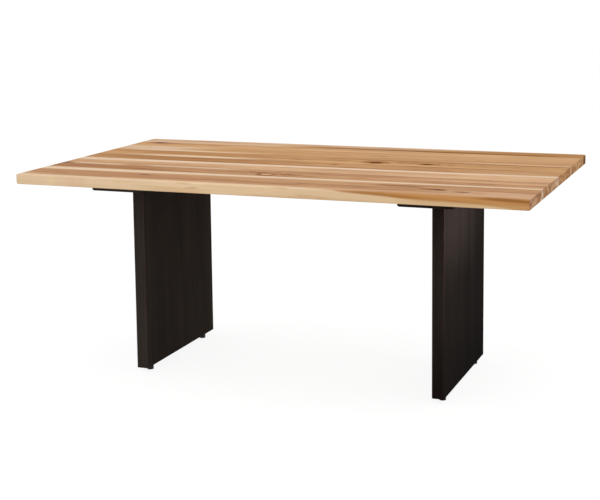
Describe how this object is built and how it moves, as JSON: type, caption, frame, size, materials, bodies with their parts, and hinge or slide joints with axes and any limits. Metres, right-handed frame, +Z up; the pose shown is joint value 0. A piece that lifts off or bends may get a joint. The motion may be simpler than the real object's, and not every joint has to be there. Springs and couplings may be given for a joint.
{
  "type": "dining table",
  "caption": "Rectangular plank table: an edge-glued hickory top with eased edges, bolted through cross cleats to dark-stained slab legs that stand on screw levellers.",
  "frame": {"origin": "on the floor, under the centre of the table top", "axes": "+X along the boards to the right as seen from the front, +Y to the back, +Z up"},
  "size_m": [1.8288, 1.0668, 0.762],
  "materials": {
    "natural_hickory": "clear satin varnish over hickory with pale sapwood and brown heartwood",
    "black_stained_hickory": "satin black stain with open grain",
    "zinc_steel": "zinc plated",
    "black_steel": "black oxide",
    "tenon_birch": "bare planed birch",
    "black_pad_plastic": "moulded black nylon"
  },
  "bodies": {
    "root": {"top_board_1": "natural_hickory", "top_board_2": "natural_hickory", "top_board_3": "natural_hickory", "top_board_4": "natural_hickory", "top_board_5": "natural_hickory", "top_board_6": "natural_hickory", "top_board_7": "natural_hickory", "top_board_8": "natural_hickory", "left_cleat": "black_stained_hickory", "right_cleat": "black_stained_hickory", "left_leg_stave_1": "black_stained_hickory", "left_leg_stave_2": "black_stained_hickory", "left_leg_stave_3": "black_stained_hickory", "left_leg_stave_4": "black_stained_hickory", "right_leg_stave_1": "black_stained_hickory", "right_leg_stave_2": "black_stained_hickory", "right_leg_stave_3": "black_stained_hickory", "right_leg_stave_4": "black_stained_hickory", "top_inserts": "zinc_steel", "top_bolts": "black_steel", "bolt_washers": "black_steel", "leg_tenons": "tenon_birch", "leveller_inserts": "zinc_steel"},
    "left_front_pad_body": {"left_front_pad": "black_pad_plastic"},
    "left_front_stud_body": {"left_front_stud": "black_steel"},
    "left_back_pad_body": {"left_back_pad": "black_pad_plastic"},
    "left_back_stud_body": {"left_back_stud": "black_steel"},
    "right_front_pad_body": {"right_front_pad": "black_pad_plastic"},
    "right_front_stud_body": {"right_front_stud": "black_steel"},
    "right_back_pad_body": {"right_back_pad": "black_pad_plastic"},
    "right_back_stud_body": {"right_back_stud": "black_steel"}
  },
  "joints": [
    {"name": "left_front_height", "type": "slide", "parent": "root", "child": "left_front_pad_body", "axis": [0, 0, -1], "range_m": [0, 0.012]},
    {"name": "left_front_turn", "type": "hinge", "parent": "left_front_pad_body", "child": "left_front_stud_body", "pos_m": [-0.56, -0.227, 0.014], "axis": [0, 0, -1], "range_deg": [0, 3456]},
    {"name": "left_back_height", "type": "slide", "parent": "root", "child": "left_back_pad_body", "axis": [0, 0, -1], "range_m": [0, 0.012]},
    {"name": "left_back_turn", "type": "hinge", "parent": "left_back_pad_body", "child": "left_back_stud_body", "pos_m": [-0.56, 0.227, 0.014], "axis": [0, 0, -1], "range_deg": [0, 3456]},
    {"name": "right_front_height", "type": "slide", "parent": "root", "child": "right_front_pad_body", "axis": [0, 0, -1], "range_m": [0, 0.012]},
    {"name": "right_front_turn", "type": "hinge", "parent": "right_front_pad_body", "child": "right_front_stud_body", "pos_m": [0.56, -0.227, 0.014], "axis": [0, 0, -1], "range_deg": [0, 3456]},
    {"name": "right_back_height", "type": "slide", "parent": "root", "child": "right_back_pad_body", "axis": [0, 0, -1], "range_m": [0, 0.012]},
    {"name": "right_back_turn", "type": "hinge", "parent": "right_back_pad_body", "child": "right_back_stud_body", "pos_m": [0.56, 0.227, 0.014], "axis": [0, 0, -1], "range_deg": [0, 3456]}
  ],
  "couplings": [
    {"joint": "left_front_turn", "follows": "left_front_height", "rad_per_m": 5026.5},
    {"joint": "left_back_turn", "follows": "left_back_height", "rad_per_m": 5026.5},
    {"joint": "right_front_turn", "follows": "right_front_height", "rad_per_m": 5026.5},
    {"joint": "right_back_turn", "follows": "right_back_height", "rad_per_m": 5026.5}
  ]
}
